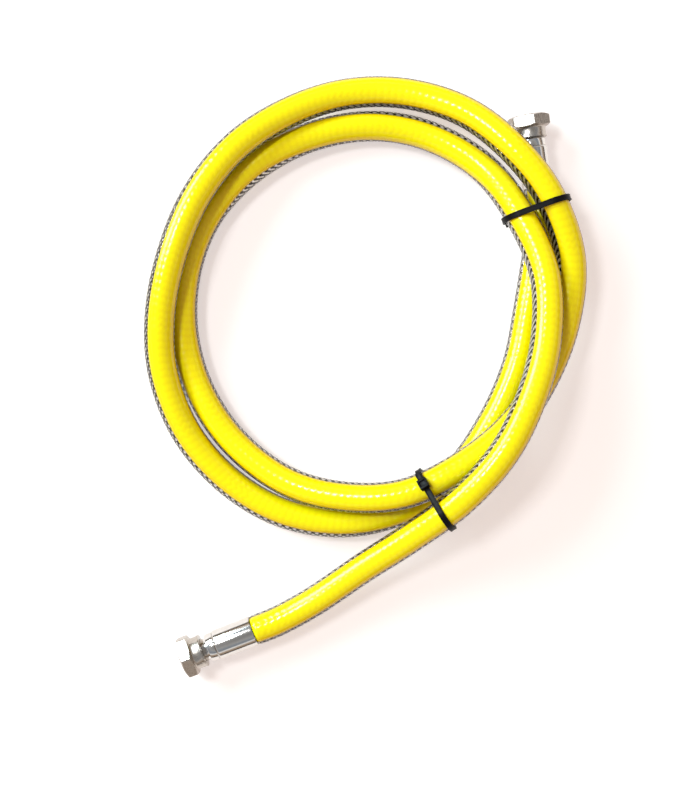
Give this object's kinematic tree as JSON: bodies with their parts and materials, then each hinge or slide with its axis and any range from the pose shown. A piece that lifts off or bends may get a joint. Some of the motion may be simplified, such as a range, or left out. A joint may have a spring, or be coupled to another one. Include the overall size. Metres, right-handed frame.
{
  "type": "flexible gas hose",
  "caption": "Coiled flexible gas hose with a smooth jacket over braid, crimped ends with swivelling union nuts, held in a coil by cable ties.",
  "frame": {"origin": "on the floor under the middle of the coil's overall box", "axes": "+Z up, +Y towards the upper end's fitting, +X to the right as seen from above with +Y up"},
  "size_m": [0.2736, 0.3749, 0.0583],
  "materials": {
    "jacket_plastic": "glossy bright yellow soft plastic, a broad band along the jacket",
    "jacket_clear": "clear soft plastic, the jacket beside its yellow band",
    "braid_steel": "bright drawn wire",
    "tube_steel": "bright rolled sheet",
    "polished_steel": "polished turned metal",
    "nut_steel": "satin machined metal",
    "washer_rubber": "matte black rubber",
    "tie_nylon": "black moulded nylon with a soft sheen"
  },
  "bodies": {
    "hose": {"hose_jacket": "jacket_plastic", "wire_braid": "braid_steel", "corrugated_tube": "tube_steel", "ferrule_lower_left": "polished_steel", "ferrule_upper_right": "polished_steel", "tailpiece_lower_left": "polished_steel", "tailpiece_upper_right": "polished_steel", "sealing_washer_lower_left": "washer_rubber", "sealing_washer_upper_right": "washer_rubber", "cable_tie_lower": "tie_nylon", "cable_tie_right": "tie_nylon"},
    "nut_lower_left": {"union_nut_lower_left": "nut_steel"},
    "nut_upper_right": {"union_nut_upper_right": "nut_steel"}
  },
  "joints": [
    {"name": "nut_lower_left_swivel", "type": "hinge", "parent": "hose", "child": "nut_lower_left", "pos_m": [-0.10108, -0.17106, 0.014], "axis": [-0.932, -0.3624, 0.0001], "continuous": true},
    {"name": "nut_upper_right_swivel", "type": "hinge", "parent": "hose", "child": "nut_upper_right", "pos_m": [0.10412, 0.14966, 0.01435], "axis": [-0.1535, 0.986, 0.0658], "continuous": true}
  ]
}
